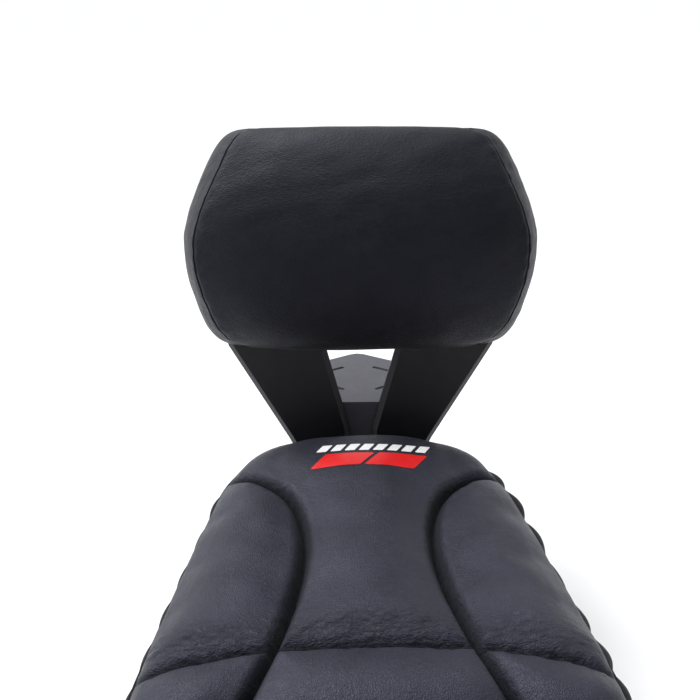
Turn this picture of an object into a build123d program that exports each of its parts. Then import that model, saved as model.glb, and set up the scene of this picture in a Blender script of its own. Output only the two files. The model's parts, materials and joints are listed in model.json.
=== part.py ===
"""A scooter's two-up seat with a passenger backrest, as an assembly of separate pieces.

Millimetres. +Y points to the rear of the bike, +Z up and +X to the rider's left. The origin is the middle of
the four bolt holes in the frame-side hinge bracket, on its underside. The seat closes down on its rubber
buffers, whose feet lie in the plane Z = 0, and opens about the hinge pin at its nose.
"""

import math
import os

from build123d import *

# ---------------------------------------------------------------- driving dimensions: seat body

# One row per cross-section, nose to tail: Y, half width, top of the crown, half width at the hem, hem height
STATIONS = [
    (-72, 42, 68, 34, 18),
    (-62, 62, 77, 52, 18),
    (-25, 91, 88, 79, 18),
    (40, 114, 96, 100, 18),
    (120, 140, 103, 124, 18),
    (200, 163, 105, 145, 18),
    (262, 174, 111, 155, 18),
    (305, 177, 131, 158, 20),
    (338, 176, 159, 157, 25),
    (375, 174, 172, 154, 31),
    (465, 165, 170, 145, 44),
    (560, 153, 171, 133, 55),
    (620, 142, 175, 123, 61),
    (655, 126, 176, 110, 64),
    (682, 100, 169, 88, 65),
    (698, 66, 152, 57, 66),
]
EDGE_DROP = 18  # the cover's edge seam lies this far below the crown
WELT_DROP = 26  # and the side band starts this far below it
COVER_T = 2.5
FIT_GAP = 0.2  # between soft skins and what they wrap
HEM_W = 16

# ---------------------------------------------------------------- driving dimensions: seat pan

PAN_T = 3.5
PAN_TOP_FRONT = 48
PAN_TOP_REAR = 92
PAN_STEP_Y = (300, 385)
RIB_T = 2.5
RIB_DEEP = 14
RIB_XS = (-52, 52)
RIB_YS = (70, 135, 200, 265, 430, 490)
FAR = 400  # reaches past the whole part

BUFFER_PLACES = {  # name: (X, Y) of each rubber foot
    "front_left": (62, 30),
    "front_right": (-62, 30),
    "middle_left": (112, 235),
    "middle_right": (-112, 235),
    "rear_left": (88, 545),
    "rear_right": (-88, 545),
}
POST_R = 13
POST_WALL = 3.5
FOOT_R = 12
FOOT_H = 10
STEM_R = 4

# ---------------------------------------------------------------- driving dimensions: hinge and latch

HINGE_Y = -32
HINGE_Z = 16
PIN_R = 4
RUNNING = 0.05  # radial clearance of the bushes on the pin
EAR_R = 9
SHEET = 3
LUG_X = 18  # inner face of each seat-side lug
EAR_X = 24  # inner face of each frame-side ear
HINGE_HOLES = (13, 10)  # half spacing of the frame-side bolt holes in X and Y
HINGE_HOLE_R = 3.3
SEAT_HINGE_BOLTS = ((-28.5, -8), (28.5, -8), (-28.5, 14), (28.5, 14))

STRIKER_Y = 545
STRIKER_BOTTOM = 30
ROD_R = 4
STRIKER_HALF = 18  # rod centre to the middle of the loop
STRIKER_BOLTS = (-30, 30)
SLEEVE_R = 6

# ---------------------------------------------------------------- driving dimensions: backrest

FOOT_Y = 712  # the backrest's plane meets Z = FOOT_Z here
FOOT_Z = 60
LEAN = 9  # degrees back from upright
PLATE_T = 10
PLATE_BEVEL = 5.5
LEG_HALF = 66
SLOT_HALF = 12
BASE_T = 4
SHELF_Z = 187
SHELF_LONG = 138
BASE_HALF = 70
TONGUE_FRONT = 588
TAIL_BOLTS = ((-38, 612), (38, 612), (-38, 658), (38, 658))
LEG_BOLTS = ((-38, 34), (38, 34), (-38, 84), (38, 84))  # X and height up the legs
PAD_BOLTS = ((-100, 266), (100, 266), (-100, 345), (100, 345))

PAD_BOTTOM = 196
PAD_WIDEST = 304
PAD_TOP = 423
PAD_HALF = (153, 188, 141)  # half width at the bottom, the widest line and the top
PAD_FRONT_IN = 30  # the front outline is this much narrower at each end
PAD_DEEP = 64
PAD_BOW = 20  # the front bows back this far by its ends
PAD_COVER_T = 2
BOARD_T = 8

os.makedirs("parts", exist_ok=True)


# ---------------------------------------------------------------- helpers


def write(name, *solids):
    """Writes one node, as one solid or a group of separate solids."""
    shape = solids[0] if len(solids) == 1 else Compound(list(solids))
    export_step(shape, f"parts/{name}.step")


def at(y, column):
    """A column of STATIONS at Y, straight between the rows."""
    for low, high in zip(STATIONS, STATIONS[1:]):
        if y <= high[0]:
            break
    share = (y - low[0]) / (high[0] - low[0])
    return low[column] + share * (high[column] - low[column])


def side_cut(points):
    """A slab right across the part, from an outline in Y and Z."""
    face = Plane.YZ * Polygon(*points, align=None)
    return extrude(face, amount=FAR, both=True)


def tube(radius, hole, low, high, x=0, y=0):
    """An upright sleeve, or a rod where the hole is 0."""
    body = Cylinder(radius, high - low)
    if hole:
        body -= Cylinder(hole, high - low)
    return Pos(x, y, (low + high) / 2) * body


def bolt(shank_r, length, head_r, head_h):
    """A button-head socket bolt: its head's underside at Z = 0 and its shank down -Z."""
    head = Pos(0, 0, head_h / 2) * Cylinder(head_r, head_h)
    head = chamfer(head.faces().sort_by(Axis.Z)[-1].edges(), head_h * 0.4)
    socket = extrude(Pos(0, 0, head_h * 0.35) * RegularPolygon(head_r * 0.5, 6), head_h)
    shank = Pos(0, 0, -length / 2) * Cylinder(shank_r, length)
    return head - socket + shank


def nut(across_r, bore, height):
    """A flanged hexagon nut, its flange face at Z = 0 and the rest up +Z."""
    hexagon = extrude(RegularPolygon(across_r, 6), height)
    flange = Pos(0, 0, 0.75) * Cylinder(across_r * 1.25, 1.5)
    return hexagon + flange - Pos(0, 0, height / 2) * Cylinder(bore, height)


def lean(shape):
    """Carries a piece from the backrest's own frame (X, up the plate, forwards) to the seat's."""
    tilt = math.radians(LEAN)
    plane = Plane((0, FOOT_Y, FOOT_Z), x_dir=(1, 0, 0), z_dir=(0, -math.cos(tilt), math.sin(tilt)))
    return plane.location * shape


# ---------------------------------------------------------------- seat body


def section(y, half, top, hem_half, hem, inset, floor):
    """One cross-section of the seat body, moved in by inset, with its underside raised up its sides by floor."""
    edge = top - EDGE_DROP
    splay = (half - 1 - hem_half) / (edge - 24 - hem)
    corner, shoulder = (hem_half - inset + floor * splay, hem + floor), (half - 1 - inset, edge - 24 - inset)
    right = [
        shoulder,
        (half - inset, edge - 9 - inset),
        (half * 0.92 - inset, edge + 6 - inset),
        (half * 0.5, top - 2 - inset),
    ]
    outline = [corner, *right, (0, top - inset), *[(-x, z) for x, z in reversed([corner, *right])]]
    plane = Plane((0, y, 0), x_dir=(1, 0, 0), z_dir=(0, -1, 0))
    points = [plane.from_local_coords(Vector(x, z, 0)) for x, z in outline]
    sides = [Line(points[0], points[1]), Line(points[-2], points[-1])]
    crown = Spline(*points[1:-1])
    return Face(Wire([sides[0], crown, sides[1], Line(points[-1], points[0])]))


def body(inset, floor):
    """The seat's whole envelope, moved in by inset all round, with its underside raised by floor."""
    nose, tail = STATIONS[0][0], STATIONS[-1][0]
    shrink = (tail - nose - 2 * inset) / (tail - nose)
    rows = [(nose + inset + (row[0] - nose) * shrink, *row[1:]) for row in STATIONS]
    return loft([section(*row, inset, floor) for row in rows])


def pan_top_line(drop):
    """The pan's upper face in Y and Z, lowered by drop: low under the rider, high under the passenger."""
    (front, rear) = PAN_STEP_Y
    low, high = PAN_TOP_FRONT - drop, PAN_TOP_REAR - drop
    return [(-FAR, low), (front, low), (rear, high), (3 * FAR, high)]


def below(drop, depth=FAR):
    """Everything under the pan's upper face lowered by drop, down to depth further."""
    line = pan_top_line(drop)
    return side_cut([*line, *[(y, z - depth) for y, z in reversed(line)]])


def above(drop):
    """Everything over the pan's upper face lowered by drop."""
    line = pan_top_line(drop)
    return side_cut([*line, *[(y, FAR) for y, _ in reversed(line)]])


def seat_pan():
    """The moulded tray under the foam: a stepped roof, side walls, ribs, buffer posts and bolt bosses."""
    wall = COVER_T + FIT_GAP + PAN_T
    shell = body(COVER_T + FIT_GAP, COVER_T + FIT_GAP) & below(0)
    hollow = body(wall, -30) & below(PAN_T)
    shell -= hollow
    roof_band = hollow & below(PAN_T, RIB_DEEP)
    ribs = [Pos(x, 240, 0) * Box(RIB_T, 440, FAR) for x in RIB_XS]
    ribs += [Pos(0, y, 0) * Box(2 * abs(RIB_XS[0]), RIB_T, FAR) for y in RIB_YS]
    for rib in ribs:
        shell += rib & roof_band
    for x, y in BUFFER_PLACES.values():
        post = tube(POST_R, POST_R - POST_WALL, FOOT_H, PAN_TOP_REAR, x, y)
        post += tube(POST_R, STEM_R + 0.1, FOOT_H, FOOT_H + SHEET, x, y)
        shell += post & below(PAN_T)
    for x, y in TAIL_BOLTS:
        shell += tube(10, 0, FOOT_Z, PAN_TOP_REAR, x, y)
        shell -= tube(SLEEVE_R + 0.05, 0, 0, FAR, x, y)
    for x, y in SEAT_HINGE_BOLTS:
        shell -= tube(3.3, 0, 0, FAR, x, y)
    for x in STRIKER_BOLTS:
        shell -= tube(3.3, 0, 0, FAR, x, STRIKER_Y)
    return shell


def seat_foam():
    """The foam block on the pan, with pockets for the plates and nuts that the bolts pull on."""
    foam = body(COVER_T + FIT_GAP, -30) & above(0)
    foam -= Pos(0, 3, PAN_TOP_FRONT) * Box(80, 50, 20)
    foam -= Pos(0, 635, PAN_TOP_REAR) * Box(112, 82, 34)
    for x in STRIKER_BOLTS:
        foam -= tube(10, 0, 0, PAN_TOP_REAR + 9, x, STRIKER_Y)
    return foam


def cover():
    """The sewn cover round foam and pan, as its top panels and the band round its sides."""
    skin = body(0, 0) - body(COVER_T, COVER_T)
    rim = [(at(y, 3) - HEM_W, y) for y in range(-50, 681, 10) if at(y, 3) > HEM_W + 6]
    outline = [*rim, *[(-x, y) for x, y in reversed(rim)]]
    skin -= extrude(Polygon(*outline, align=None), 70)
    line = [(y, top - WELT_DROP) for y, _, top, _, _ in STATIONS]
    line = [(-FAR, line[0][1]), *line, (3 * FAR, line[-1][1])]
    over = side_cut([*line, (3 * FAR, FAR), (-FAR, FAR)])
    return skin & over, skin - over


def staples():
    """Wire staples that hold the hem to the pan's rim: a crown across the hem and two legs."""
    made = []
    for y in range(-20, 661, 34):
        for side in (-1, 1):
            x, z = side * (at(y, 3) - 7), at(y, 4)
            crown = Pos(x, y, z - 0.3) * Box(0.9, 10, 0.9)
            legs = [Pos(x, y + step, z + 1.6) * Box(0.9, 0.9, 4.4) for step in (-4.55, 4.55)]
            made.append(crown + legs)
    return made


# ---------------------------------------------------------------- buffers


def buffer(x, y):
    """A rubber foot with a stem that snaps through the floor of its post."""
    lip = FOOT_H + SHEET
    profile = [
        (0, 0),
        (FOOT_R - 2, 0),
        (FOOT_R, 2),
        (FOOT_R - 1, FOOT_H),
        (STEM_R, FOOT_H),
        (STEM_R, lip),
        (STEM_R + 1.6, lip),
        (STEM_R - 1.5, lip + 8),
        (0, lip + 8),
    ]
    half = Plane.XZ * Polygon(*profile, align=None)
    return Pos(x, y, 0) * revolve(half, Axis.Z)


# ---------------------------------------------------------------- hinge


def across(shape, x):
    """Turns an upright round piece to lie along X, with its middle at X on the hinge axis."""
    return Pos(x, HINGE_Y, HINGE_Z) * Rot(0, 90, 0) * shape


def frame_hinge_bracket():
    """Bolted to the bike: a base plate with an ear folded up at each side, reaching forward to the pin."""
    width = 2 * (EAR_X + SHEET)
    base = Pos(0, 0, SHEET / 2) * Box(width, 36, SHEET)
    outline = Polygon((18, 0), (-18, 0), (HINGE_Y - 4, 9), (HINGE_Y + 4, 24), (18, 10), align=None)
    ear = extrude(Plane.YZ * outline, SHEET / 2, both=True)
    for middle in (EAR_X + SHEET / 2, -EAR_X - SHEET / 2):
        base += Pos(middle, 0, 0) * ear
        base += across(Cylinder(EAR_R, SHEET), middle)
    base -= across(Cylinder(PIN_R + 0.02, FAR), 0)
    for x in (-HINGE_HOLES[0], HINGE_HOLES[0]):
        for y in (-HINGE_HOLES[1], HINGE_HOLES[1]):
            base -= tube(HINGE_HOLE_R, 0, -1, SHEET + 1, x, y)
    return base


def seat_hinge_bracket():
    """Bolted under the pan: a plate with two lugs folded down to the pin, bored for the bushes."""
    roof = PAN_TOP_FRONT - PAN_T
    plate = Pos(0, -9, roof - SHEET / 2) * Box(72, 66, SHEET)
    outline = Polygon((20, roof), (-42, roof), (HINGE_Y - 8, 14), (HINGE_Y + 8, 14), align=None)
    lug = extrude(Plane.YZ * outline, SHEET / 2, both=True)
    for middle in (LUG_X + SHEET / 2, -LUG_X - SHEET / 2):
        plate += Pos(middle, 0, 0) * lug
        plate += across(Cylinder(EAR_R, SHEET), middle)
    plate -= across(Cylinder(6, FAR), 0)
    for x, y in SEAT_HINGE_BOLTS:
        plate -= tube(3.3, 0, 0, FAR, x, y)
    return plate


def hinge_pin():
    """A headed pin right through both brackets, grooved at its far end for the clip."""
    end = EAR_X + SHEET + 6
    pin = across(Cylinder(PIN_R, 2 * end), 0)
    pin += across(Cylinder(7, 3), -EAR_X - SHEET - 1.5)
    low = across(Cylinder(FAR, 6), -end)
    pin -= low
    groove = Cylinder(PIN_R + 1, 1.2) - Cylinder(PIN_R - 0.8, 1.2)
    return pin - across(groove, EAR_X + SHEET + 1.6)


def pin_clip():
    """The E-clip in the pin's groove."""
    ring = Cylinder(7.5, 1) - Cylinder(PIN_R - 0.7, 1)
    ring -= Pos(0, 6, 0) * Box(5, 12, 2)
    return across(ring, EAR_X + SHEET + 1.6)


def hinge_bushes():
    """Two flanged bushes in the lugs, which turn on the pin."""
    made = []
    for side in (1, -1):
        barrel = Cylinder(5.95, SHEET) - Cylinder(PIN_R + RUNNING, SHEET)
        flange = Cylinder(8, 1.5) - Cylinder(PIN_R + RUNNING, 1.5)
        middle = LUG_X + SHEET / 2
        made.append(across(barrel, side * middle) + across(flange, side * (middle + SHEET / 2 + 0.75)))
    return made


# ---------------------------------------------------------------- latch striker


def latch_striker():
    """The rod loop that the bike's lock grips, welded to its plate under the pan's roof."""
    roof = PAN_TOP_REAR - PAN_T
    plate = Pos(0, STRIKER_Y, roof - SHEET / 2) * Box(78, 36, SHEET)
    top, low = roof - SHEET, STRIKER_BOTTOM + ROD_R
    path = FilletPolyline(
        (-STRIKER_HALF, STRIKER_Y, top),
        (-STRIKER_HALF, STRIKER_Y, low),
        (STRIKER_HALF, STRIKER_Y, low),
        (STRIKER_HALF, STRIKER_Y, top),
        radius=10,
    )
    start = Plane(path @ 0, z_dir=path % 0)
    plate += sweep(start * Circle(ROD_R), path)
    for x in STRIKER_BOLTS:
        plate -= tube(3.3, 0, 0, FAR, x, STRIKER_Y)
    return plate


# ---------------------------------------------------------------- backrest


def base_plate():
    """One folded sheet: a tongue under the tail, a front behind the legs and a pointed shelf behind."""
    tilt = math.radians(LEAN)
    back_y = FOOT_Y + PLATE_T / math.cos(tilt)

    def face_y(z, depth=0.0):
        return back_y + (z - FOOT_Z) * math.tan(tilt) + depth / math.cos(tilt)

    shelf_low = SHELF_Z - BASE_T
    outline = [
        (TONGUE_FRONT, FOOT_Z - BASE_T),
        (face_y(FOOT_Z - BASE_T, BASE_T), FOOT_Z - BASE_T),
        (face_y(shelf_low, BASE_T), shelf_low),
        (face_y(SHELF_Z) + SHELF_LONG, shelf_low),
        (face_y(SHELF_Z) + SHELF_LONG, SHELF_Z),
        (face_y(SHELF_Z), SHELF_Z),
        (face_y(FOOT_Z), FOOT_Z),
        (TONGUE_FRONT, FOOT_Z),
    ]
    sheet = side_cut(outline)
    rear = face_y(SHELF_Z) + SHELF_LONG
    plan = [
        (BASE_HALF - 18, TONGUE_FRONT),
        (BASE_HALF - 12, TONGUE_FRONT + 8),
        (BASE_HALF - 12, 690),
        (BASE_HALF, 708),
        (BASE_HALF + 14, rear - 62),
        (BASE_HALF + 4, rear - 44),
        (9, rear - 3),
        (0, rear),
    ]
    whole = [*plan, *[(-x, y) for x, y in reversed(plan[:-1])]]
    sheet &= extrude(Polygon(*whole, align=None), FAR)
    for x, y in TAIL_BOLTS:
        sheet -= tube(4.3, 0, 0, FOOT_Z + 1, x, y)
    for x, v in LEG_BOLTS:
        sheet -= lean(tube(4.3, 0, -40, 40, x, v))
    slot = SlotOverall(44, 5)
    for side in (-1, 1):
        for turn, step in ((32, 44), (-32, 84)):
            place = Pos(side * 36, face_y(SHELF_Z) + step, SHELF_Z - BASE_T - 1) * Rot(0, 0, side * turn)
            sheet -= place * extrude(slot, BASE_T + 2)
    return sheet


def backrest_bracket():
    """The V-shaped plate: two legs that spread into arms, joined behind the pad, with bevelled front edges."""
    outer = [(LEG_HALF, 10), (LEG_HALF, 66), (79, 91), (142, PAD_BOTTOM), (150, 224), (150, 372)]
    window = [(SLOT_HALF, 78), (SLOT_HALF, 101), (45, 220)]
    flat = Polygon(*outer, *[(-x, v) for x, v in reversed(outer)], align=None)
    gap = Polygon(*window, *[(-x, v) for x, v in reversed(window)], align=None)
    flat = fillet(flat.vertices(), 9)
    gap = fillet(gap.vertices(), 8)
    plate = extrude(Pos(0, 0, -PLATE_T) * (flat - gap), PLATE_T)
    front = plate.faces().sort_by(Axis.Z)[-1]
    plate = chamfer(front.edges(), PLATE_BEVEL)
    for x, v in LEG_BOLTS:
        plate -= tube(4.3, 0, -PLATE_T - 1, 1, x, v)
    for x, v in PAD_BOLTS:
        plate -= tube(3.3, 0, -PLATE_T - 1, 1, x, v)
    return lean(plate)


def moved_in(points, inset):
    """The corners of a convex outline, given anticlockwise, with every side moved in by inset."""
    made = []
    for before, here, after in zip([points[-1], *points[:-1]], points, [*points[1:], points[0]]):
        came = (Vector(*here) - Vector(*before)).normalized()
        goes = (Vector(*after) - Vector(*here)).normalized()
        inward = Vector(-came.Y - goes.Y, came.X + goes.X)
        corner = Vector(*here) + inward * (inset / (1 + came.dot(goes)))
        made.append((corner.X, corner.Y))
    return made


def pad_outline(inset):
    """The pad's six-sided outline, moved in by inset, with rounded corners."""
    bottom, widest, top = PAD_HALF
    right = [(bottom, PAD_BOTTOM), (widest, PAD_WIDEST), (top, PAD_TOP)]
    flat = Polygon(*moved_in([*right, *[(-x, v) for x, v in reversed(right)]], inset), align=None)
    for low, high, radius in ((0, 280, 20), (280, 370, 44), (370, 3 * FAR, 28)):
        flat = fillet(flat.vertices().filter_by_position(Axis.Y, low, high), radius)
    return flat


def pad_body(inset, back):
    """The pad's envelope from its back plane forwards, moved in by inset: domed in side view."""
    rear = Pos(0, 0, back) * pad_outline(inset)
    front = Pos(0, 0, PAD_DEEP) * pad_outline(PAD_FRONT_IN + inset)
    block = loft([rear.face(), front.face()], ruled=True)
    dome = Spline(
        (PAD_BOTTOM + inset, 16),
        (PAD_BOTTOM + 16, 42 - inset),
        (PAD_WIDEST - 20, 61 - inset),
        (PAD_WIDEST + 50, 54 - inset),
        (PAD_TOP - 18, 33 - inset),
        (PAD_TOP - inset, 12),
    )
    lines = Polyline(dome @ 1, (PAD_TOP - inset, -5), (PAD_BOTTOM + inset, -5), dome @ 0)
    side = make_face(Wire([dome, *lines.edges()]))
    end = PAD_HALF[1] - PAD_FRONT_IN
    crest = PAD_DEEP - 2 - inset
    bow = ThreePointArc((-end, crest - PAD_BOW), (0, crest), (end, crest - PAD_BOW))
    fall = [bow @ 1, (end + 60, crest - PAD_BOW - 30), (end + 60, -5), (-end - 60, -5)]
    plan = Polyline(*fall, (-end - 60, crest - PAD_BOW - 30), bow @ 0)
    top = make_face(Wire([bow, *plan.edges()]))
    # The side view's own X is the height up the pad and its Y the depth, so it is stood on the YZ plane,
    # and the top view's Y is the depth, so it is stood on the XZ plane.
    block &= extrude(Plane.YZ * side, FAR, both=True)
    return block & extrude(Plane.XZ * top, 2 * FAR, both=True)


def pad_pieces():
    """Board, foam, cover and lining of the pad, in the backrest's own frame."""
    board = extrude(Pos(0, 0, PAD_COVER_T) * pad_outline(10), BOARD_T)
    holes = [tube(4.1, 0, -1, 30, x, v) for x, v in PAD_BOLTS]
    board -= holes
    foam = pad_body(PAD_COVER_T + FIT_GAP, PAD_COVER_T) - extrude(pad_outline(9.8), BOARD_T + PAD_COVER_T)
    foam -= [tube(10.5, 0, 0, 20, x, v) for x, v in PAD_BOLTS]
    skin = pad_body(0, 0) - pad_body(PAD_COVER_T, PAD_COVER_T)
    skin -= extrude(Pos(0, 0, -1) * pad_outline(34), PAD_COVER_T + 2)
    lining = extrude(pad_outline(34.5), PAD_COVER_T)
    lining -= [tube(3.3, 0, -1, 5, x, v) for x, v in PAD_BOLTS]
    return board, foam, skin, lining


def tee_nut(x, v):
    """A tee nut: a barrel in the board and a flange on the board's front."""
    face = PAD_COVER_T + BOARD_T
    return tube(4, 3.05, face - 6, face, x, v) + tube(9, 3.05, face, face + 1.5, x, v)


# ---------------------------------------------------------------- writing the nodes

top_skin, side_skin = cover()
write("seat_pan", seat_pan())
write("seat_foam", seat_foam())
write("cover_top", top_skin)
write("cover_side_band", side_skin)
write("cover_staples", *staples())
for place, (x, y) in BUFFER_PLACES.items():
    write(f"buffer_{place}", buffer(x, y))

write("frame_hinge_bracket", frame_hinge_bracket())
write("seat_hinge_bracket", seat_hinge_bracket())
write("hinge_pin", hinge_pin())
write("hinge_pin_clip", pin_clip())
write("hinge_bushes", *hinge_bushes())
nose_top = PAN_TOP_FRONT + 2.5
nose_plate = Pos(0, 3, PAN_TOP_FRONT + 1.25) * Box(74, 42, 2.5)
for x, y in SEAT_HINGE_BOLTS:
    nose_plate -= tube(3.3, 0, 0, FAR, x, y)
write("nose_plate", nose_plate)
under = PAN_TOP_FRONT - PAN_T - SHEET
write("seat_hinge_bolts", *[Pos(x, y, under) * Rot(180, 0, 0) * bolt(3, 15, 5.5, 3) for x, y in SEAT_HINGE_BOLTS])
write("seat_hinge_nuts", *[Pos(x, y, nose_top) * nut(5.5, 3.05, 5) for x, y in SEAT_HINGE_BOLTS])

write("latch_striker", latch_striker())
striker_low = PAN_TOP_REAR - PAN_T - SHEET
striker_bolts = [Pos(x, STRIKER_Y, striker_low) * Rot(180, 0, 0) * bolt(3, 12, 5.5, 3) for x in STRIKER_BOLTS]
write("striker_bolts", *striker_bolts)
write("striker_nuts", *[Pos(x, STRIKER_Y, PAN_TOP_REAR) * nut(5.5, 3.05, 5) for x in STRIKER_BOLTS])

write("base_plate", base_plate())
tail_plate = Pos(0, 635, PAN_TOP_REAR + 1.5) * Box(104, 74, 3)
for x, y in TAIL_BOLTS:
    tail_plate -= tube(4.3, 0, 0, FAR, x, y)
write("tail_plate", tail_plate)
write("tail_sleeves", *[tube(SLEEVE_R, 4.2, FOOT_Z, PAN_TOP_REAR, x, y) for x, y in TAIL_BOLTS])
tail_low = FOOT_Z - BASE_T
write("tail_bolts", *[Pos(x, y, tail_low) * Rot(180, 0, 0) * bolt(4, 48, 7, 4) for x, y in TAIL_BOLTS])
write("tail_nuts", *[Pos(x, y, PAN_TOP_REAR + 3) * nut(7, 4.05, 7) for x, y in TAIL_BOLTS])

write("backrest_bracket", backrest_bracket())
write("leg_bolts", *[lean(Pos(x, v, 0) * bolt(4, 26, 7, 4)) for x, v in LEG_BOLTS])
leg_back = -PLATE_T - BASE_T
write("leg_nuts", *[lean(Pos(x, v, leg_back) * Rot(180, 0, 0) * nut(7, 4.05, 7)) for x, v in LEG_BOLTS])

board, foam, skin, lining = pad_pieces()
write("pad_board", lean(board))
write("pad_foam", lean(foam))
write("pad_cover", lean(skin))
write("pad_back_lining", lean(lining))
write("pad_tee_nuts", *[lean(tee_nut(x, v)) for x, v in PAD_BOLTS])
write("pad_washers", *[lean(tube(8, 3.2, -PLATE_T - 1.5, -PLATE_T, x, v)) for x, v in PAD_BOLTS])
pad_bolt_at = -PLATE_T - 1.5
write("pad_bolts", *[lean(Pos(x, v, pad_bolt_at) * Rot(180, 0, 0) * bolt(3, 20, 5.5, 3.2)) for x, v in PAD_BOLTS])
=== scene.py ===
"""The finished look of the scooter seat: sewn cover, backrest bolster, and a finish for every part.

Metres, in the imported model's frame: +Y to the rear, +Z up, +X to the rider's left. Lengths in the lists below
are in millimetres, and MM turns them into metres.
"""

import json
import math

import bpy
import numpy as np
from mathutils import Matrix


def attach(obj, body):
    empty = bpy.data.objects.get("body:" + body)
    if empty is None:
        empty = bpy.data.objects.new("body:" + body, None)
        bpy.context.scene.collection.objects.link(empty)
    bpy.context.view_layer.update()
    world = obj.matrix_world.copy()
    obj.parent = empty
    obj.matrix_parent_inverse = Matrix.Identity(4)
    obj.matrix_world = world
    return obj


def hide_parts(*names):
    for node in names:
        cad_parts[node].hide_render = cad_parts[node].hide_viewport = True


MM = 0.001
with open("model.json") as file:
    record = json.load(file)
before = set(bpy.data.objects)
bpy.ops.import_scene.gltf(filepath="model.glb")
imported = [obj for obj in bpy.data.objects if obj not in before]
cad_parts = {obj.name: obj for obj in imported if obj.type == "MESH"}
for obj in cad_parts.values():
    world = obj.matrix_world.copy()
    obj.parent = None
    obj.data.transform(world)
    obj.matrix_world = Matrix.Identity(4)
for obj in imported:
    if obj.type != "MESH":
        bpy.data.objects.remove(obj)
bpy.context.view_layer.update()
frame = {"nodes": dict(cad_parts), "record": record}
nodes = frame["nodes"]

# ---------------------------------------------------------------- seat shape, in millimetres

# Half of the cover's edge seam in plan, nose to tail: X, Y
OUTLINE = [
    (0, -76.5), (27, -76), (47, -72.5), (65, -63), (80, -46), (93, -24), (113, 38), (137, 118), (159, 198), (170, 262),
    (172.5, 305), (172, 338), (169.5, 375), (160, 465), (150, 545), (144.5, 580), (138, 620), (132, 640), (125, 655),
    (115, 668), (101, 680), (81, 690.5), (58, 697.5), (29, 701.2), (0, 702),
]
# Height of the middle of the seat along it: Y, Z
TOP = [
    (-76.5, 79), (-60, 80), (-25, 87), (40, 95), (120, 101.5), (200, 104), (262, 111), (300, 130), (332, 156),
    (352, 167), (375, 171), (420, 170.5), (465, 170), (560, 171), (620, 174), (655, 175), (690, 177), (702, 178),
]
# Height of the band's hem, and how far the hem is drawn in under the seam: Y, value
HEM = [(-76.5, 18), (262, 18), (305, 20), (338, 25), (375, 31), (465, 44), (560, 55), (620, 61), (655, 64), (702, 66)]
TUCK = [
    (-76.5, 2.5), (-62, 3), (-20, 6), (40, 10), (120, 13), (200, 15), (305, 16), (465, 16), (620, 13), (655, 9),
    (680, 4), (702, 3),
]
EDGE_ROUND = 34  # how far in from the edge the top starts to roll down
EDGE_FALL = 18  # how far it rolls down there
CROWN = 8  # how much higher the middle is than the sides
END_FADE = 40  # how far from nose and tail the crown is full
TOP_ROWS, TOP_COLS = 134, 64  # the grid that the cloth simulation moves
FINER = 3  # how much finer the finished grids are than the simulated ones
SMOOTHING_PASSES = 7
PLEAT_LEFT, PLEAT_RIGHT = 10, 6.5  # height of the band's lumps on each side
PLEAT_LENGTH = 45
INK_THICKNESS = 0.35

# Sewn channels in plan, left half: the passenger's waisted pair, then the rider's
CHANNELS = [
    [
        (142, 636), (118, 625), (104, 618), (92, 609), (76, 592), (67, 576), (59.5, 549), (56, 516), (57, 485),
        (61, 455), (65, 433), (71, 405), (76, 387), (84, 363), (94, 338), (107, 311), (124, 284),
        (146, 262), (182, 246),
    ],
    [(178, 204), (134, 194), (107, 174), (91, 144), (82, 106), (74, 64), (63, 24), (50, -14), (39, -46), (30, -84)],
]
# Channels right across, as (X, Y) from the middle out
CROSSINGS = [[(0, 396), (40, 395.5), (77, 394), (118, 387), (178, 376)], [(0, 232), (70, 230), (130, 225), (178, 219)]]

rng = np.random.default_rng(7)


# ---------------------------------------------------------------- curves and grids


def through(points, count):
    """A smooth curve through the points, as count points evenly spaced along it."""
    p = np.asarray(points, float)
    at = np.r_[0, np.cumsum(np.linalg.norm(np.diff(p, axis=0), axis=1) ** 0.5)]
    slope = np.gradient(p, at, axis=0)
    t = np.linspace(0, at[-1], 60 * len(p))
    k = np.clip(np.searchsorted(at, t, side="right") - 1, 0, len(p) - 2)
    h = (at[k + 1] - at[k])[:, None]
    u = (t - at[k])[:, None] / h
    fine = (2 * u**3 - 3 * u**2 + 1) * p[k] + (u**3 - 2 * u**2 + u) * h * slope[k]
    fine += (3 * u**2 - 2 * u**3) * p[k + 1] + (u**3 - u**2) * h * slope[k + 1]
    run = np.r_[0, np.cumsum(np.linalg.norm(np.diff(fine, axis=0), axis=1))]
    even = np.linspace(0, run[-1], count)
    return np.stack([np.interp(even, run, fine[:, c]) for c in range(p.shape[1])], axis=1)


def line(points):
    """A smooth function through the points, first column to second."""
    fine = through(points, 800)
    return lambda value: np.interp(value, fine[:, 0], fine[:, 1])


def nearest(points, line_points):
    """Distance from each point to the nearest of the line's points."""
    best = np.empty(len(points))
    for start in range(0, len(points), 4000):
        block = points[start : start + 4000]
        apart = ((block[:, None, :] - line_points[None, :, :]) ** 2).sum(axis=2)
        best[start : start + 4000] = np.sqrt(apart.min(axis=1))
    return best


def ripple(x, y, size, count=14, stretch=1.0):
    """Smooth seeded unevenness of about the given size across, between about -1 and 1."""
    turn = rng.uniform(0, 2 * math.pi, count)
    wave = 2 * math.pi / (size * rng.uniform(0.7, 1.6, count))
    phase = rng.uniform(0, 2 * math.pi, count)
    total = sum(
        np.sin(w * (np.cos(a) * x / stretch + np.sin(a) * y) + q) for a, w, q in zip(turn, wave, phase)
    )
    return total / math.sqrt(count) * 0.8


def normals_of(grid):
    """Outward unit normals of a grid of points whose rows run along +Y and columns along +X."""
    along = np.gradient(grid, axis=0)
    over = np.gradient(grid, axis=1)
    n = np.cross(over, along)
    return n / np.maximum(np.linalg.norm(n, axis=2, keepdims=True), 1e-12)


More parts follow.
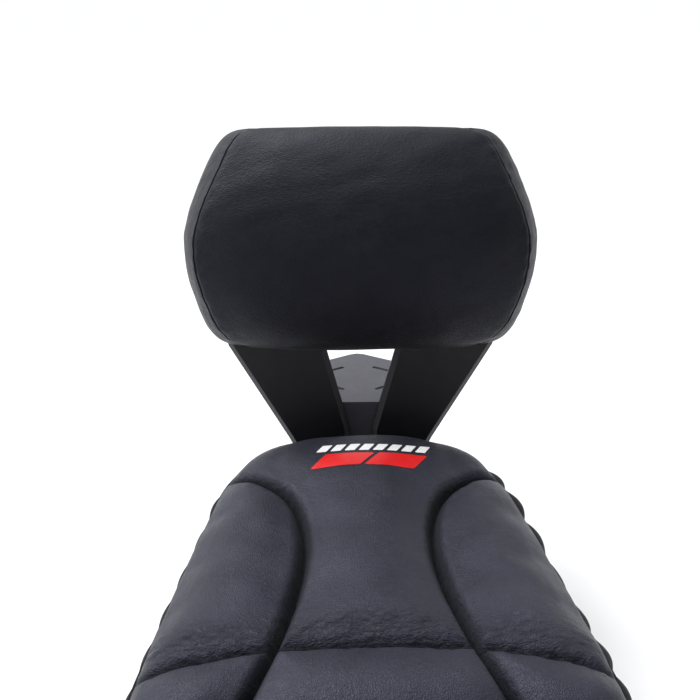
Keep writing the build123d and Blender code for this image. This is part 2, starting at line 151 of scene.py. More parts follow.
def stretch_grid(grid, rows, cols):
    """The grid's values at rows by cols places, smoothly in between."""
    for axis, count in ((0, rows), (1, cols)):
        size = grid.shape[axis]
        at = np.linspace(0, size - 1, count)
        k = np.clip(at.astype(int), 0, size - 2)
        u = at - k
        shape = [1] * grid.ndim
        shape[axis] = count
        take = [np.take(grid, np.clip(k + step, 0, size - 1), axis=axis) for step in (-1, 0, 1, 2)]
        weight = [
            (-(u**3) + 2 * u**2 - u) / 2,
            (3 * u**3 - 5 * u**2 + 2) / 2,
            (-3 * u**3 + 4 * u**2 + u) / 2,
            (u**3 - u**2) / 2,
        ]
        grid = sum(w.reshape(shape) * values for w, values in zip(weight, take))
    return grid


def quads(rows, cols, around=False):
    """Faces of a grid, closed round its columns where around is set."""
    r, c = np.meshgrid(np.arange(rows - 1), np.arange(cols if around else cols - 1), indexing="ij")
    here, beside = r * cols + c, r * cols + (c + 1) % cols
    return np.stack([here, beside, beside + cols, here + cols], axis=2).reshape(-1, 4)


def make(name, points, faces, finish, body, marks=None):
    """A smooth-shaded mesh piece from millimetre points, with optional per-point marks for its material."""
    mesh = bpy.data.meshes.new(name)
    mesh.from_pydata((np.asarray(points).reshape(-1, 3) * MM).tolist(), [], [list(map(int, f)) for f in faces])
    for mark, values in (marks or {}).items():
        layer = mesh.attributes.new(mark, "FLOAT", "POINT")
        layer.data.foreach_set("value", np.asarray(values, np.float32).ravel())
    mesh.polygons.foreach_set("use_smooth", [True] * len(mesh.polygons))
    mesh.materials.append(finish)
    mesh.update()
    piece = bpy.data.objects.new(name, mesh)
    bpy.context.scene.collection.objects.link(piece)
    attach(piece, body)
    return piece


def puffed(grid, pinned, pressure, slack, most, steps=18):
    """How far a sewn skin moves when it is blown up between its pinned seams, by a cloth simulation."""
    rows, cols, _ = grid.shape
    mesh = bpy.data.meshes.new("blown")
    mesh.from_pydata((grid.reshape(-1, 3) * MM).tolist(), [], quads(rows, cols).tolist())
    skin = bpy.data.objects.new("blown", mesh)
    bpy.context.scene.collection.objects.link(skin)
    group = skin.vertex_groups.new(name="seams")
    group.add([int(i) for i in np.flatnonzero(pinned)], 1.0, "REPLACE")
    cloth = skin.modifiers.new("cloth", "CLOTH")
    how = cloth.settings
    how.quality = 6
    how.mass = 0.25
    how.vertex_group_mass = "seams"
    how.pin_stiffness = 1.0
    how.use_pressure = True
    how.uniform_pressure_force = pressure
    how.shrink_min = -slack
    how.tension_stiffness = how.compression_stiffness = 18
    how.shear_stiffness = 8
    how.bending_stiffness = 0.6
    how.effector_weights.gravity = 0
    cloth.collision_settings.use_collision = False
    cloth.point_cache.frame_start = 1
    cloth.point_cache.frame_end = steps
    for step in range(1, steps + 1):
        bpy.context.scene.frame_set(step)
    done = skin.evaluated_get(bpy.context.evaluated_depsgraph_get()).data
    flat = np.zeros(len(done.vertices) * 3)
    done.vertices.foreach_get("co", flat)
    bpy.data.objects.remove(skin)
    bpy.data.meshes.remove(mesh)
    bpy.context.scene.frame_set(1)
    moved = flat.reshape(rows, cols, 3) / MM - grid
    size = np.linalg.norm(moved, axis=2, keepdims=True)
    moved *= np.where(size > most, most / np.maximum(size, 1e-9), 1)
    for _ in range(SMOOTHING_PASSES):
        edge = np.pad(moved, ((1, 1), (1, 1), (0, 0)), mode="edge")
        beside = edge[:-2, 1:-1] + edge[2:, 1:-1] + edge[1:-1, :-2] + edge[1:-1, 2:]
        moved = moved * 0.5 + beside * 0.125
    moved[pinned.reshape(rows, cols)] *= 0.3
    return moved


# ---------------------------------------------------------------- materials


class Finish:
    """A material with its nodes, built up step by step."""

    def __init__(self, name, color, rough, metal=0.0, **constants):
        self.material = bpy.data.materials.new(name)
        self.material.use_nodes = True
        self.material.diffuse_color = (*color, 1)
        self.nodes = self.material.node_tree.nodes
        self.shader = self.nodes["Principled BSDF"]
        self.shader.inputs["Base Color"].default_value = (*color, 1)
        self.shader.inputs["Roughness"].default_value = rough
        self.shader.inputs["Metallic"].default_value = metal
        for socket, value in constants.items():
            self.shader.inputs[socket.replace("_", " ")].default_value = value
        self.places = self.nodes.new("ShaderNodeTexCoord").outputs["Object"]
        self.bump = None

    def join(self, source, target):
        self.material.node_tree.links.new(source, target)

    def place(self, stretch=(1, 1, 1)):
        node = self.nodes.new("ShaderNodeMapping")
        node.inputs["Scale"].default_value = stretch
        self.join(self.places, node.inputs["Vector"])
        return node.outputs["Vector"]

    def noise(self, size, detail=3.0, rough=0.55, stretch=(1, 1, 1), warp=0.0):
        """Noise whose blotches are about size millimetres across."""
        node = self.nodes.new("ShaderNodeTexNoise")
        node.inputs["Scale"].default_value = 1 / (size * MM)
        node.inputs["Detail"].default_value = detail
        node.inputs["Roughness"].default_value = rough
        node.inputs["Distortion"].default_value = warp
        self.join(self.place(stretch), node.inputs["Vector"])
        return node.outputs["Fac"]

    def cells(self, size, stretch=(1, 1, 1), wander=0.35):
        """Pebbles about size millimetres across, high in the middle and low between."""
        drift = self.nodes.new("ShaderNodeTexNoise")
        drift.inputs["Scale"].default_value = 0.6 / (size * MM)
        drift.inputs["Detail"].default_value = 2
        self.join(self.place(stretch), drift.inputs["Vector"])
        shift = self.nodes.new("ShaderNodeVectorMath")
        shift.operation = "SCALE"
        shift.inputs["Scale"].default_value = size * MM * wander * 2
        self.join(drift.outputs["Color"], shift.inputs[0])
        add = self.nodes.new("ShaderNodeVectorMath")
        self.join(self.place(stretch), add.inputs[0])
        self.join(shift.outputs[0], add.inputs[1])
        node = self.nodes.new("ShaderNodeTexVoronoi")
        node.feature = "DISTANCE_TO_EDGE"
        node.inputs["Scale"].default_value = 1 / (size * MM)
        self.join(add.outputs[0], node.inputs["Vector"])
        return self.range(node.outputs["Distance"], 0, 0.28, 0, 1)

    def range(self, source, low, high, to_low, to_high):
        node = self.nodes.new("ShaderNodeMapRange")
        for name, value in (("From Min", low), ("From Max", high), ("To Min", to_low), ("To Max", to_high)):
            node.inputs[name].default_value = value
        self.join(source, node.inputs["Value"])
        return node.outputs["Result"]

    def mark(self, name):
        node = self.nodes.new("ShaderNodeAttribute")
        node.attribute_name = name
        return node.outputs["Fac"]

    def times(self, one, two):
        node = self.nodes.new("ShaderNodeMath")
        node.operation = "MULTIPLY"
        self.join(one, node.inputs[0])
        self.join(two, node.inputs[1])
        return node.outputs[0]

    def tint(self, amount, low, high):
        """Colours the surface from low to high as amount goes from 0 to 1."""
        node = self.nodes.new("ShaderNodeMix")
        node.data_type = "RGBA"
        self.join(amount, node.inputs["Factor"])
        for socket, color in ((node.inputs[6], low), (node.inputs[7], high)):
            socket.default_value = (*color, 1)
        self.join(node.outputs[2], self.shader.inputs["Base Color"])

    def shade(self, amount, color):
        """Lays color over what the surface has already, as amount goes from 0 to 1."""
        node = self.nodes.new("ShaderNodeMix")
        node.data_type = "RGBA"
        under = self.shader.inputs["Base Color"].links[0].from_socket
        self.join(amount, node.inputs["Factor"])
        self.join(under, node.inputs[6])
        node.inputs[7].default_value = (*color, 1)
        self.join(node.outputs[2], self.shader.inputs["Base Color"])

    def gloss(self, amount, low, high):
        self.join(self.range(amount, 0.3, 0.7, low, high), self.shader.inputs["Roughness"])

    def dull(self, amount):
        """Makes the surface matt where amount nears 1."""
        node = self.nodes.new("ShaderNodeMath")
        node.operation = "MAXIMUM"
        self.join(self.shader.inputs["Roughness"].links[0].from_socket, node.inputs[0])
        self.join(self.range(amount, 0, 0.8, 0, 0.95), node.inputs[1])
        self.join(node.outputs[0], self.shader.inputs["Roughness"])

    def relief(self, height, depth, strength=1.0):
        """Adds bumps depth millimetres high on top of those there already."""
        node = self.nodes.new("ShaderNodeBump")
        node.inputs["Strength"].default_value = strength
        node.inputs["Distance"].default_value = depth * MM
        self.join(height, node.inputs["Height"])
        if self.bump:
            self.join(self.bump, node.inputs["Normal"])
        self.bump = node.outputs["Normal"]
        self.join(self.bump, self.shader.inputs["Normal"])


def leather(name, dark, light, rough, grain, stretch=(1, 1, 1), shine=0.32):
    """Grained leather: pebbles, pores between them, slow blotches of colour and sheen, crinkles at seams, and painted
    shade in seams.
    """
    made = Finish(
        name, light, rough[0], Sheen_Weight=0.04, Sheen_Roughness=0.4, Specular_IOR_Level=shine,
        Specular_Tint=(0.78, 0.81, 1, 1),
    )
    pebble = made.cells(grain, stretch)
    blotch = made.noise(45, 4, 0.6)
    made.tint(made.range(blotch, 0.32, 0.68, 0, 1), dark, light)
    made.shade(made.range(pebble, 0.0, 0.5, 0.55, 0.0), tuple(c * 0.45 for c in dark))
    # painted shade: darkens the colour where the top's channel mark is high, in the sewn channels and at the edge seam
    made.shade(made.range(made.mark("painted_seam_shade"), 0, 0.8, 0, 0.95), tuple(c * 0.15 for c in dark))
    made.gloss(made.noise(18, 5, 0.65), *rough)
    made.dull(made.mark("painted_seam_shade"))
    made.relief(made.noise(7, 4, 0.6, (stretch[0], 1, 1.4)), 0.5, 0.5)
    crinkle = made.noise(4.8, 5, 0.64, (0.7, 1.2, 1.2), 0.6)
    made.relief(made.times(crinkle, made.mark("crease")), 2.8, 1.0)
    made.relief(pebble, 0.22, 0.75)
    made.relief(made.noise(0.7, 2), 0.05, 0.5)
    return made.material


def plastic(name, low, high, rough, grain):
    made = Finish(name, high, rough[0])
    made.tint(made.noise(60, 4), low, high)
    made.gloss(made.noise(9, 4), *rough)
    made.relief(made.noise(grain, 3), 0.12, 0.7)
    made.relief(made.noise(30, 2), 0.3, 0.25)
    return made.material


def painted(name, low, high, rough, peel=2.2):
    """Powder coat or satin paint, with orange peel and faint handling marks."""
    made = Finish(name, high, rough[0], Specular_IOR_Level=0.35)
    made.tint(made.noise(40, 5, 0.6), low, high)
    made.gloss(made.noise(14, 6, 0.7), *rough)
    made.relief(made.noise(peel, 2), 0.06, 0.6)
    return made.material


def plated(name, low, high, rough, brush=(1, 1, 1)):
    made = Finish(name, high, rough[0], 1.0)
    made.tint(made.noise(6, 5, 0.65), low, high)
    made.gloss(made.noise(3, 5, 0.7, brush), *rough)
    made.relief(made.noise(0.8, 3, 0.6, brush), 0.03, 0.6)
    return made.material


seat_leather = leather("seat_leather", (0.0135, 0.014, 0.0215), (0.0225, 0.023, 0.0345), (0.38, 0.52), 1.7)
pad_leather = leather(
    "pad_leather", (0.004, 0.004, 0.006), (0.008, 0.008, 0.011), (0.4, 0.54), 2.1, (0.62, 1, 1), 0.22
)
# painted light: the pad's end gussets use the pad leather made several times lighter, standing in for the side light
# that falls on them
gusset_leather_painted_light = leather("gusset_leather_painted_light", (0.012, 0.012, 0.014), (0.02, 0.02, 0.023), (0.42, 0.56), 1.8)
band_leather = leather("band_leather", (0.002, 0.002, 0.0025), (0.004, 0.004, 0.005), (0.55, 0.7), 2.8, shine=0.12)


def print_ink(name, low, high):
    made = Finish(name, high, 0.38, Coat_Weight=0.15, Coat_Roughness=0.25)
    made.tint(made.noise(9, 4), low, high)
    made.gloss(made.noise(6, 4), 0.34, 0.46)
    made.relief(made.cells(1.7), 0.1, 0.5)
    return made.material


red_ink = print_ink("red_ink", (0.55, 0.006, 0.008), (0.68, 0.012, 0.012))
white_ink = print_ink("white_ink", (0.72, 0.72, 0.72), (0.86, 0.86, 0.86))

lining_cloth = Finish("lining_cloth", (0.014, 0.014, 0.015), 0.9, Sheen_Weight=0.5, Sheen_Roughness=0.5)
lining_cloth.tint(lining_cloth.noise(3, 6, 0.75), (0.008, 0.008, 0.009), (0.028, 0.028, 0.03))
lining_cloth.relief(lining_cloth.noise(0.9, 4, 0.7, (1, 0.35, 1)), 0.35, 0.9)
lining_cloth = lining_cloth.material

ply = Finish("ply", (0.35, 0.23, 0.13), 0.6)
ply.tint(ply.noise(5, 6, 0.7, (0.08, 1, 1)), (0.2, 0.12, 0.06), (0.42, 0.29, 0.17))
ply.relief(ply.noise(1.5, 4, 0.7, (0.1, 1, 1)), 0.15, 0.7)

nylon = Finish("nylon", (0.6, 0.58, 0.52), 0.42, Subsurface_Weight=0.1)
nylon.tint(nylon.noise(4, 3), (0.52, 0.5, 0.45), (0.64, 0.62, 0.57))
nylon.relief(nylon.noise(1.2, 2), 0.04, 0.6)

FINISHES = {
    "pan_plastic": plastic("pan_plastic", (0.012, 0.012, 0.013), (0.024, 0.024, 0.026), (0.45, 0.62), 0.9),
    "rubber": plastic("rubber", (0.01, 0.01, 0.01), (0.022, 0.021, 0.02), (0.72, 0.88), 1.4),
    "zinc_steel": plated("zinc_steel", (0.5, 0.51, 0.53), (0.68, 0.68, 0.67), (0.24, 0.42)),
    "black_steel": painted("black_steel", (0.01, 0.01, 0.011), (0.02, 0.02, 0.022), (0.36, 0.5)),
    "grey_steel": painted("grey_steel", (0.05, 0.05, 0.062), (0.072, 0.072, 0.088), (0.38, 0.52), 1.6),
    "black_aluminium": painted("black_aluminium", (0.003, 0.003, 0.0055), (0.006, 0.006, 0.01), (0.36, 0.5), 1.3),
    "board": ply.material,
    "nylon": nylon.material,
    "seat_vinyl": seat_leather,
    "band_vinyl": band_leather,
    "pad_vinyl": pad_leather,
    "lining": lining_cloth,
}
slot_of = {row["node"]: row["material_slot"] for row in frame["record"]["subparts"]}
for node, thing in nodes.items():
    if slot_of[node] in FINISHES:
        for place in thing.material_slots:
            place.material = FINISHES[slot_of[node]]


# ---------------------------------------------------------------- seat cover

outline = through(OUTLINE, 1000)
half_at = lambda y: np.interp(y, outline[:, 1], outline[:, 0])
top_at, hem_at, tuck_at = line(TOP), line(HEM), line(TUCK)
nose, tail = OUTLINE[0][1], OUTLINE[-1][1]
both = np.concatenate([outline, outline * (-1, 1)])


def both_sides(points, count):
    half = through(points, count)
    return np.concatenate([half, half * (-1, 1)])


channels = np.concatenate([both_sides(points, 380) for points in CHANNELS])
crossings = np.concatenate([both_sides(points, 150) for points in CROSSINGS])


def rolled(share, span):
    """Places along a span whose ends roll over: evenly spaced on the arc, for share from -1 to 1."""
    bend = np.minimum(EDGE_ROUND, span)
    flat = span - bend
    s = np.abs(share) * (flat + bend * math.pi / 2)
    over = np.clip((s - flat) / np.maximum(bend, 1e-6), 0, math.pi / 2)
    return np.sign(share) * np.where(s <= flat, s, flat + bend * np.sin(over))


def top_surface(rows, cols):
    """The plain crowned top as a grid, with each point's distance to the edge, to a channel and to a crossing."""
    middle, reach = (nose + tail) / 2, (tail - nose) / 2
    y = middle + rolled(np.linspace(-0.9995, 0.9995, rows), np.full(rows, reach))
    half = half_at(y)
    x = np.stack([rolled(np.full(rows, share), half) for share in np.linspace(-1, 1, cols)], axis=1)
    y = np.repeat(y[:, None], cols, axis=1)
    plan = np.stack([x.ravel(), y.ravel()], axis=1)
    edge = nearest(plan, both).reshape(rows, cols)
    edge[:, [0, -1]] = 0
    edge[[0, -1], :] = 0
    to_channel = nearest(plan, channels).reshape(rows, cols)
    # the channels are narrower under the rider's back
    to_channel *= np.interp(y, (385, 470), (1.35, 1))
    to_crossing = nearest(plan, crossings).reshape(rows, cols)
    rise = 1 - np.clip(1 - edge / EDGE_ROUND, 0, 1) ** 2
    from_end = np.clip(np.minimum(y - nose, tail - y) / END_FADE, 0, 1)
    crowned = (1 - (x / np.maximum(half[:, None], 1)) ** 2) * (1 - (1 - from_end) ** 2)
    z = top_at(y) - CROWN * (1 - crowned) - EDGE_FALL * (1 - np.sqrt(rise))
    return np.stack([x, y, z], axis=2), edge, to_channel, to_crossing


def sewn(edge, to_channel, to_crossing, sharp=1.0):
    """How far the skin stands off the plain top: down in the channels and up between them."""
    hold = 0.25 + 0.75 * np.clip(edge / 20, 0, 1)
    groove = 11.5 * np.exp(-((to_channel / 5.6) ** 2)) + sharp * 5 * np.exp(-((to_channel / 2.2) ** 2))
    slit = 4.5 * np.exp(-((to_crossing / 4.5) ** 2)) + sharp * 4 * np.exp(-((to_crossing / 1.6) ** 2))
    swell = 6.5 * (1 - np.exp(-((np.minimum(to_channel, to_crossing * 1.4) / 24) ** 2))) - 3
    return (swell - np.maximum(groove, slit)) * hold * np.clip(edge / 3, 0, 1)


def seat_top():
    """The sewn top of the seat: bolsters and centre panels blown up between their channels."""
    base, edge, to_channel, to_crossing = top_surface(TOP_ROWS, TOP_COLS)
    moved = np.zeros_like(base)
    start = base + normals_of(base) * sewn(edge, to_channel, to_crossing, 0)[:, :, None]
    pinned = ((to_channel < 5) | (to_crossing < 4) | (edge < 5)).ravel()
    moved = puffed(start, pinned, 1.6, 0.012, 5)
    rows, cols = TOP_ROWS * FINER, TOP_COLS * FINER
    base, edge, to_channel, to_crossing = top_surface(rows, cols)
    normal = normals_of(base)
    grid = base + stretch_grid(moved, rows, cols)
    x, y = base[:, :, 0], base[:, :, 1]
    seam = np.minimum(to_channel, to_crossing)
    near = np.exp(-seam / 9) * np.clip(edge / 8, 0, 1)
    uneven = 0.55 * ripple(x, y, 60) + 0.6 * near * ripple(x, y, 15) + 0.4 * near * ripple(x, y, 7.5)
    behind = np.exp(-(((y - (412 - (x / 45) ** 2)) / 12) ** 2))
    uneven += 0.5 * behind * ripple(x, y, 9, 18, 2.2)
    hug = sewn(edge, to_channel, to_crossing)
    grid = grid + normal * (hug + uneven * np.clip(edge / 4, 0, 1))[:, :, None]
    crease = 0.16 + 0.5 * np.exp(-((seam / 9) ** 2)) + 1.0 * behind * np.clip(edge / 10, 0, 1)
    # painted shade mask: high in the channels, the crossings and at the edge seam, where the leather's colour is
    # darkened to stand in for shade
    painted_seam_shade = np.maximum(np.exp(-((to_channel / 5.2) ** 2)), 0.8 * np.exp(-((to_crossing / 3.0) ** 2)))
    painted_seam_shade = np.maximum(painted_seam_shade * np.clip(edge / 3, 0, 1), 0.7 * np.exp(-((edge / 1.6) ** 2)))
    marks = {"crease": crease, "painted_seam_shade": painted_seam_shade}
    piece = make("seat_cover_top", grid, quads(rows, cols), seat_leather, "seat", marks)
    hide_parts("cover_top", "seat_foam")
    return grid


def seat_band():
    """The side band: pleated lumps under the edge seam, drawn in to the hem and turned under it."""
    loop = through([*OUTLINE, *[(-x, y) for x, y in reversed(OUTLINE[:-1])]], 1500)[:-1]
    ahead = np.roll(loop, -1, axis=0) - np.roll(loop, 1, axis=0)
    out = np.stack([ahead[:, 1], -ahead[:, 0]], axis=1)
    out /= np.linalg.norm(out, axis=1, keepdims=True)
    x, y = loop[:, 0], loop[:, 1]
    seam_z = top_at(y) - CROWN - EDGE_FALL
    hem_z, tuck = hem_at(y), tuck_at(y)
    along = np.r_[0, np.cumsum(np.linalg.norm(np.diff(loop, axis=0), axis=1))]
    lump = 0.3 + 0.7 * np.abs(np.sin(math.pi * along / PLEAT_LENGTH + 0.7 * ripple(along, 0 * along, 300))) ** 0.8
    lump *= np.clip(0.95 + 0.25 * ripple(along, 0 * along, 130), 0.5, 1.2)
    flank = np.clip((np.abs(x) - 40) / 50, 0, 1) * np.clip((y + 60) / 60, 0, 1)
    size = np.where(x > 0, PLEAT_LEFT, PLEAT_RIGHT) * flank
    rows, creases = [], []
    shares = np.concatenate([np.linspace(0, 1, 44), 1 + np.linspace(0.02, 0.25, 7)])
    for share in shares:
        down = min(share, 1.0)
        bulge = 1.5 * math.sin(math.pi * min(down * 1.6, 1)) + 1.2 * math.sin(math.pi * down)
        pleat = size * lump * min(down / 0.05, 1) ** 0.7 * (1 - 0.85 * down)
        inward = tuck * down**1.4
        if share > 1:
            inward = tuck + (share - 1) * 64
        # a tight roll where the band meets the hem
        roll = 3 * math.exp(-(((down - 1) / 0.03) ** 2)) if share <= 1 else 0
        off = bulge + pleat - inward - roll * 0.3
        wave = 0.35 * ripple(along, np.full_like(along, share * 90), 40) * math.sin(math.pi * down)
        z = seam_z + (hem_z - seam_z) * down + (0.2 if share > 1 else 0)
        rows.append(np.stack([x + out[:, 0] * (off + wave), y + out[:, 1] * (off + wave), z], axis=1))
        creases.append(0.25 + 0.75 * (1 - lump) * flank * (1 - down))
    piece = make(
        "seat_side_band", np.array(rows), quads(len(rows), len(loop), True)[:, ::-1], band_leather, "seat",
        {"crease": np.array(creases)},
    )
    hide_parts("cover_side_band")
    return loop, out, seam_z


def beads(name, path, radius, finish, body, squashed=1.0, sides=8, closed=True):
    """A thin rolled edge or cord along a path of millimetre points, closed into a loop or open."""
    count = len(path)
    if closed:
        ahead = np.roll(path, -1, axis=0) - np.roll(path, 1, axis=0)
    else:
        ahead = np.gradient(path, axis=0)
    ahead /= np.linalg.norm(ahead, axis=1, keepdims=True)
    side = np.cross(ahead, (0, 0, 1))
    side /= np.maximum(np.linalg.norm(side, axis=1, keepdims=True), 1e-9)
    up = np.cross(side, ahead)
    turn = np.linspace(0, 2 * math.pi, sides, endpoint=False)
    rings = path[:, None] + radius * (
        np.cos(turn)[None, :, None] * side[:, None] + squashed * np.sin(turn)[None, :, None] * up[:, None]
    )
    faces = quads(count, sides, True)
    if closed:
        last = np.arange(sides) + (count - 1) * sides
        first = np.arange(sides)
        faces = np.concatenate([faces, np.stack([last, np.roll(last, -1), np.roll(first, -1), first], axis=1)])
    return make(name, rings, faces, finish, body, {"crease": np.full(count * sides, 0.3)})


top_grid = seat_top()
band_loop, band_out, seam_z = seat_band()
welt = np.stack([band_loop[:, 0] + band_out[:, 0] * 0.6, band_loop[:, 1] + band_out[:, 1] * 0.6, seam_z - 0.6], axis=1)
beads("edge_welt", welt, 1.9, band_leather, "seat", 0.9)


def on_top(x, y, lift):
    """Points on the finished top at the given plan places, lifted off it a little."""
    rows, cols, _ = top_grid.shape
    ys = top_grid[:, cols // 2, 1]
    normal = normals_of(top_grid)
    r = np.interp(y, ys, np.arange(rows))
    r0 = np.clip(r.astype(int), 0, rows - 2)
    found = []
    for px, row, part in zip(x, r0, r - r0):
        line_x = top_grid[row, :, 0] * (1 - part) + top_grid[row + 1, :, 0] * part
        c = np.interp(px, line_x, np.arange(cols))
        c0 = min(int(c), cols - 2)
        q = c - c0
        cell = [(row, c0, (1 - part) * (1 - q)), (row, c0 + 1, (1 - part) * q)]
        cell += [(row + 1, c0, part * (1 - q)), (row + 1, c0 + 1, part * q)]
        found.append(sum(w * (top_grid[i, j] + normal[i, j] * lift) for i, j, w in cell))
    return np.array(found)


def printed_bar(name, spans, low, high, slant, finish):
    """Plain printed blocks in a row across the tail, with slanted, softened ends."""
    rows, cols = 14, 40
    t, share = np.meshgrid(np.linspace(0, 1, rows), np.linspace(0, 1, cols), indexing="ij")
    soft = 1 - 0.10 * (2 * np.abs(share - 0.5)) ** 18
    points, faces = [], []
    for start, end in spans:
        y = (low + high) / 2 + (t - 0.5) * (high - low) * soft
        x = start + share * (end - start) + slant * (t - 0.5)
        faces.append(quads(rows, cols) + rows * cols * len(points))
        points.append(on_top(x.ravel(), y.ravel(), INK_THICKNESS))
    points = np.concatenate(points)
    make(name, points, np.concatenate(faces), finish, "seat", {"crease": np.zeros(len(points))})


printed_bar("tail_bar_red", [(-45, 3), (7, 55)], 616, 638, 14, red_ink)
printed_bar("tail_bar_white", [(-44 + 14 * k, -34 + 14 * k) for k in range(8)], 643, 656, 6, white_ink)

# ---------------------------------------------------------------- backrest pad

LEAN = math.radians(9)
FOOT = np.array([0, 712, 60])
ACROSS = np.array([1, 0, 0])
UP_PLATE = np.array([0, math.sin(LEAN), math.cos(LEAN)])
FORWARD = np.array([0, -math.cos(LEAN), math.sin(LEAN)])
# The pad's side view from its lower back edge round the front to its upper back edge: height up the plate, depth
PAD_SIDE = [
    (200, 0.5), (197, 7), (198, 18), (204, 32), (218, 45), (240, 54.5), (266, 60), (292, 61.5), (322, 59),
    (352, 53), (380, 43.5), (402, 32.5), (416, 20), (421, 9), (419, 0.5),
]
# Half width of its back, by height
PAD_ENDS = [
    (197, 128), (200, 141), (206, 152), (218, 162), (231, 168), (244, 172.5), (256, 176), (268, 179), (281, 181.5),
    (304, 183), (318, 182), (330, 179), (342, 175.5), (353, 171), (365, 166), (377, 160.5), (389, 154.5), (401, 147.5),
    (410, 140.5), (416, 133), (419.5, 124), (421, 112),
]
PAD_SEAM_IN = 15  # how far inside the outline the end seams run on the front
PAD_MIDDLE = 309  # height of its middle
RIM_POINTS = 420
HEM_WIDTH = 33


def leaned(x, v, t):
    """Points of the backrest's own frame, X, height up the plate and depth, in the seat's frame."""
    x, v, t = np.broadcast_arrays(x, v, t)
    return FOOT + x[..., None] * ACROSS + v[..., None] * UP_PLATE + t[..., None] * FORWARD


def backrest_pad():
    """The bolster: one barrel-shaped front panel, and a gusset at each end from its seam to the back."""
    side = through(PAD_SIDE, 132)
    v, t = side[:, 0], side[:, 1]
    ends = line(PAD_ENDS)
    back = ends(np.clip(v, 197, 421))
    inset = PAD_SEAM_IN * np.clip(t / 42, 0, 1) ** 0.8
    seam = back - inset
    share = np.linspace(-1, 1, 150)
    # the panel's own columns crowd a little towards its seams
    share = np.sign(share) * (1 - (1 - np.abs(share)) ** 1.12)
    x = share[None, :] * seam[:, None]
    bow = 1 - 0.34 * np.abs(share[None, :]) ** 2.6
    depth = t[:, None] * bow
    height = v[:, None] + 0 * x
    rise = height - 0.036 * (v - PAD_MIDDLE)[:, None] * share[None, :] ** 2 * np.clip(t / 25, 0, 1)[:, None]
    grid = leaned(x, rise, depth)
    from_seam = (1 - np.abs(share))[None, :] * seam[:, None]
    normal = -normals_of(grid)
    if (normal[60, 75] @ FORWARD) < 0:
        normal = -normal
    front = np.clip(t / 12, 0, 1)[:, None]
    puff = 2.6 * (1 - np.exp(-from_seam / 7)) - 2.2 * np.exp(-((from_seam / 2.2) ** 2))
    uneven = 0.5 * ripple(x, height, 75) + 0.22 * ripple(x, height, 22, 16, 2.2)
    uneven += 0.5 * np.exp(-from_seam / 9) * ripple(x, height, 11)
    coarse = (slice(None, None, FINER), slice(None, None, FINER))
    sample = grid[coarse]
    pin = (from_seam[coarse] < 4) | (t[::FINER, None] < 6)
    blown = puffed(sample, pin.ravel(), 1.1, 0.004, 2.5, 12)
    grid = grid + stretch_grid(blown, *grid.shape[:2])
    grid = grid + normal * ((puff + uneven) * front)[:, :, None]
    upper = np.exp(-(((v - 368) / 38) ** 2))[:, None]
    crease = 0.07 + 0.3 * np.exp(-from_seam / 8) + 0.12 * upper + 0 * x
    piece = make("pad_front", grid, quads(*grid.shape[:2]), pad_leather, "seat", {"crease": crease})
    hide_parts("pad_cover", "pad_foam")

    for hand, col in ((-1, 0), (1, -1)):
        near = grid[:, col]
        far = leaned(hand * (back + 0.4), v, np.zeros_like(v) + 0.5)
        part = np.linspace(0, 1, 16)[None, :, None]
        strip = near[:, None] * (1 - part) + far[:, None] * part
        bulge = np.sin(math.pi * part[..., 0]) ** 0.8 * 2.6 * np.clip(inset / 10, 0, 1)[:, None]
        away = np.array([hand * 0.93, 0, 0]) + FORWARD * 0.36
        rough = 0.35 * ripple(v[:, None] + 0 * bulge, 40 * part[..., 0] + 0 * bulge, 16) * (bulge > 0.3)
        strip = strip + away * (bulge + rough)[..., None]
        label = "left" if hand > 0 else "right"
        marks = {"crease": 0.2 + 0.5 * np.exp(-part[0, :, 0] * 6)[None, :] + 0 * bulge}
        # painted light: the end panels and their seam cords take the lighter gusset leather
        make(f"pad_end_{label}", strip, quads(*strip.shape[:2]), gusset_leather_painted_light, "seat", marks)
        cord = near + normal[:, col] * 1.0
        beads(f"pad_seam_{label}", cord[6:-6], 0.8, gusset_leather_painted_light, "seat", closed=False)

    # the cover turned over the back edge on to the board, and the lining inside it
    right = np.array([(x, v) for v, x in PAD_ENDS])
    corners = np.concatenate([right, right[::-1] * (-1, 1), right[:1]])
    run = np.r_[0, np.cumsum(np.linalg.norm(np.diff(corners, axis=0), axis=1))]
    even = np.linspace(0, run[-1], RIM_POINTS + 1)[:-1]
    rim = np.stack([np.interp(even, run, corners[:, c]) for c in (0, 1)], axis=1)
    core = np.array([0.0, PAD_MIDDLE])
    shrink = np.array([0.18, 0.29]) / HEM_WIDTH
    rows = []
    for step, depth in ((0, 0.6), (2, -0.1), (8, 0.0), (16, 0.1), (24, 0.15), (HEM_WIDTH, 0.2), (34.5, 0.9)):
        fold = 0.35 * ripple(np.arange(RIM_POINTS) * 2.4, np.full(RIM_POINTS, step), 26) * (4 < step < 34)
        at = core + (rim - core) * (1 - shrink * step)
        rows.append(leaned(at[:, 0], at[:, 1], depth + np.abs(fold) * 0.6))
    marks = {"crease": np.full(len(rows) * RIM_POINTS, 0.4)}
    make("pad_back_hem", np.array(rows), quads(len(rows), RIM_POINTS, True), pad_leather, "seat", marks)
    edge = core + (rim - core) * (1 - shrink * HEM_WIDTH)
    rows = []
    for share in np.linspace(1, 0.002, 30):
        at = core + (edge - core) * share
        sag = 0.35 * ripple(at[:, 0], at[:, 1], 45) + 0.2
        rows.append(leaned(at[:, 0], at[:, 1], 0.9 - sag * (share < 0.97)))
    piece = make("pad_lining", np.array(rows), quads(len(rows), RIM_POINTS, True), lining_cloth, "seat")
    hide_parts("pad_back_lining")


backrest_pad()

# ---------------------------------------------------------------- floor, light and camera


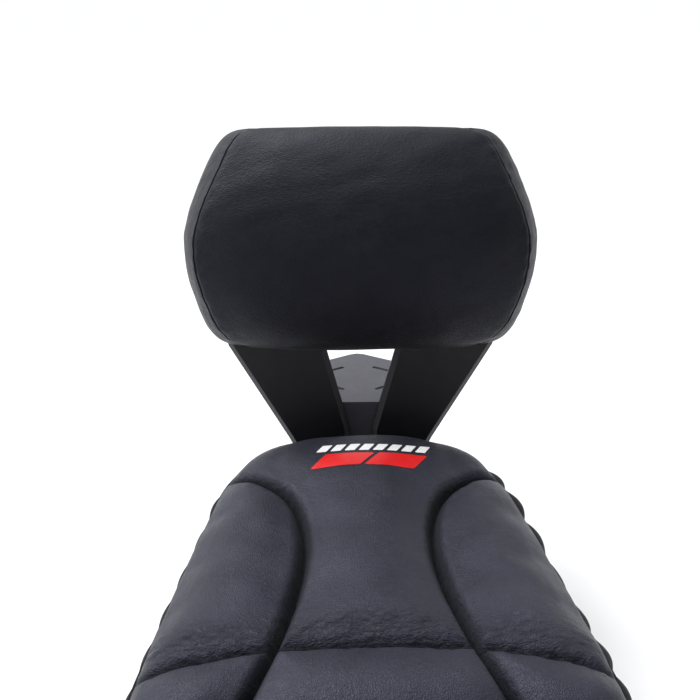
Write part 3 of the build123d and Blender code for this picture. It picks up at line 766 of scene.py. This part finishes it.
def area_light(name, place, aim, size, power, color=(1, 1, 1)):
    data = bpy.data.lights.new(name, "AREA")
    data.shape = "RECTANGLE"
    data.size, data.size_y = size
    data.energy = power
    data.color = color
    lamp = bpy.data.objects.new(name, data)
    bpy.context.scene.collection.objects.link(lamp)
    lamp.location = place
    away = np.array(place, float) - np.array(aim, float)
    across = math.hypot(away[0], away[1])
    lamp.rotation_euler = (math.atan2(across, away[2]), 0, math.atan2(away[0], -away[1]) if across else 0)


floor_mesh = bpy.data.meshes.new("floor")
floor_mesh.from_pydata([(-40, -40, 0), (40, -40, 0), (40, 40, 0), (-40, 40, 0)], [], [(0, 1, 2, 3)])
floor = bpy.data.objects.new("floor", floor_mesh)
floor.location.z = -0.0003
paper = Finish("paper", (0.86, 0.86, 0.87), 0.8)
paper.tint(paper.noise(400, 3), (0.84, 0.84, 0.85), (0.88, 0.88, 0.89))
floor_mesh.materials.append(paper.material)
bpy.context.scene.collection.objects.link(floor)

world = bpy.data.worlds.new("studio")
world.use_nodes = True
sky = world.node_tree
sky.nodes["Background"].inputs["Color"].default_value = (0.98, 0.985, 1, 1)
heading = sky.nodes.new("ShaderNodeTexCoord")
toward = sky.nodes.new("ShaderNodeVectorMath")
toward.operation = "DOT_PRODUCT"
toward.inputs[1].default_value = (-0.4, 1, -0.12)
fade = sky.nodes.new("ShaderNodeMapRange")
fade.interpolation_type = "SMOOTHSTEP"
for socket, value in (("From Min", -0.75), ("From Max", 0.35), ("To Min", 0.3), ("To Max", 1.02)):
    fade.inputs[socket].default_value = value
sky.links.new(heading.outputs["Generated"], toward.inputs[0])
sky.links.new(toward.outputs["Value"], fade.inputs["Value"])
sky.links.new(fade.outputs["Result"], sky.nodes["Background"].inputs["Strength"])
bpy.context.scene.world = world
bpy.context.scene.view_settings.view_transform = "Standard"

sun_data = bpy.data.lights.new("soft_sun", "SUN")
sun_data.energy = 2.1
sun_data.angle = math.radians(38)
sun = bpy.data.objects.new("soft_sun", sun_data)
sun.rotation_euler = (math.radians(-16), math.radians(-29), 0)
bpy.context.scene.collection.objects.link(sun)
area_light("overhead", (-0.5, 0.9, 1.9), (0, 0.5, 0.15), (1.4, 1.0), 9)
area_light("pad_key", (0, 0.42, 1.15), (0, 0.74, 0.42), (0.5, 0.3), 2.2)
area_light("side_fill", (-1.3, 0.5, 1.2), (-0.1, 0.5, 0.15), (0.9, 0.7), 6)

CAMERA_DOWN, CAMERA_TURN = 22.6, -1.1  # degrees
lens = bpy.data.cameras.new("photo_angle")
lens.sensor_width = 36
lens.lens = 41.14
camera = bpy.data.objects.new("photo_angle", lens)
camera.location = (-0.027, -0.05, 0.579)
camera.rotation_euler = (math.radians(90 - CAMERA_DOWN), 0, math.radians(CAMERA_TURN))
bpy.context.scene.collection.objects.link(camera)
bpy.context.scene.camera = camera
